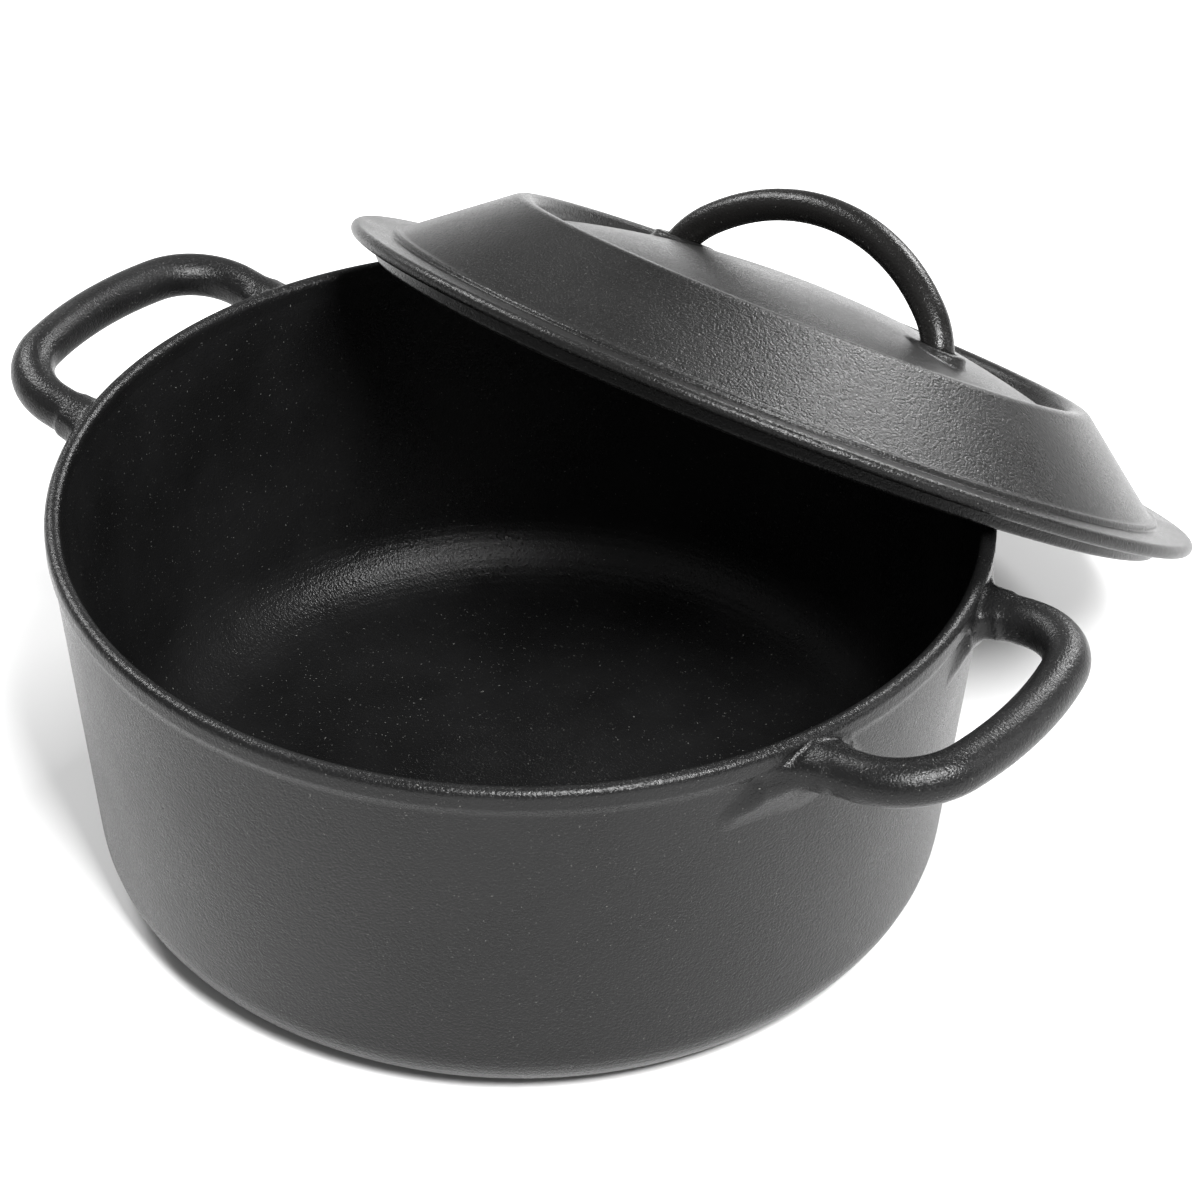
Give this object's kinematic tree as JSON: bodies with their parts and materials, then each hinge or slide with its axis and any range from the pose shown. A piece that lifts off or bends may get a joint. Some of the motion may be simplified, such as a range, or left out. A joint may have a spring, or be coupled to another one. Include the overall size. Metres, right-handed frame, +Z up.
{
  "type": "dutch oven",
  "caption": "round cast iron dutch oven with loop handles and a domed lid with an arched rod handle, lid lifted off and leaning on the rim",
  "frame": {"origin": "centre of the pot's flat base, on the surface it stands on", "axes": "+Z up; the loop handles lie along X; the lid leans off the rim towards +Y"},
  "size_m": [0.3452, 0.3683, 0.1734],
  "materials": {
    "pot_iron": "seasoned cast iron, fine orange-peel grain, satin",
    "lid_iron": "seasoned cast iron, fine orange-peel grain, satin",
    "rod_iron": "smoother black rod, slightly glossier than the lid"
  },
  "bodies": {
    "pot": {"pot_body": "pot_iron", "left_loop_handle": "pot_iron", "right_loop_handle": "pot_iron"},
    "lid": {"lid_cover": "lid_iron", "lid_handle": "rod_iron"}
  },
  "joints": [
    {"name": "lid_lift", "type": "slide", "parent": "pot", "child": "lid", "axis": [0, 0, 1], "range_m": [0, 0.2]}
  ]
}
